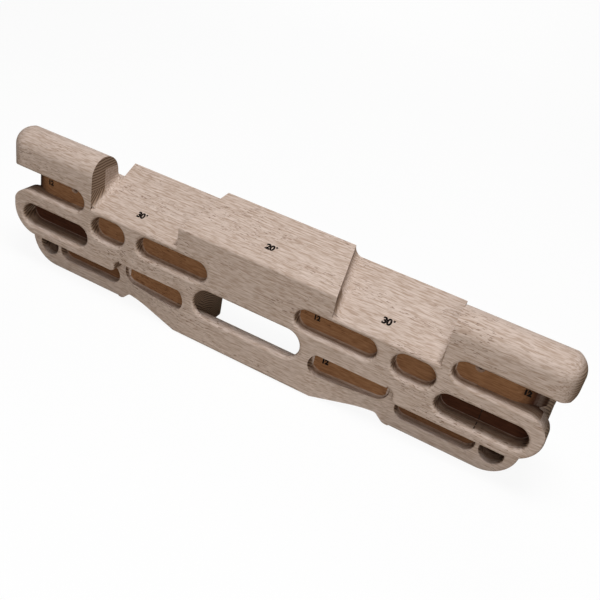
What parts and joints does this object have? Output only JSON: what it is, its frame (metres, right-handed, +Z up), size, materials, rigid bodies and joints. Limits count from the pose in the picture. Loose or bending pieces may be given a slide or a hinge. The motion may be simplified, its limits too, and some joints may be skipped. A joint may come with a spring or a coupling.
{
  "type": "climbing hangboard",
  "caption": "Climbing hangboard of glued beech staves, milled into slopers, jugs and finger pockets around a central through grip, with a flat back for a wall.",
  "frame": {"origin": "on the back face that rests on the wall, at mid length, level with the front edge of the outer slopers", "axes": "+X along the board, to the right as seen from the front; +Y back into the wall; +Z up"},
  "size_m": [0.654, 0.066, 0.1605],
  "materials": {
    "beech_pale": "sanded, not varnished",
    "beech_warm": "sanded, not varnished",
    "beech_core": "sanded, not varnished"
  },
  "bodies": {
    "root": {"front_stave_jug_left": "beech_warm", "front_stave_crown": "beech_pale", "front_stave_jug_right": "beech_warm", "front_stave_upper": "beech_pale", "front_stave_middle": "beech_warm", "front_stave_middle_end": "beech_pale", "front_stave_lower": "beech_pale", "core_stave_jug_left": "beech_core", "core_stave_jug_right": "beech_core", "core_stave_top": "beech_core", "core_stave_upper": "beech_core", "core_stave_middle_left": "beech_core", "core_stave_middle_right": "beech_core", "core_stave_foot_left": "beech_core", "core_stave_foot_right": "beech_core", "back_stave_top": "beech_core", "back_stave_upper": "beech_core", "back_stave_middle": "beech_core", "back_stave_lower_left": "beech_core", "back_stave_lower_right": "beech_core"}
  },
  "joints": []
}
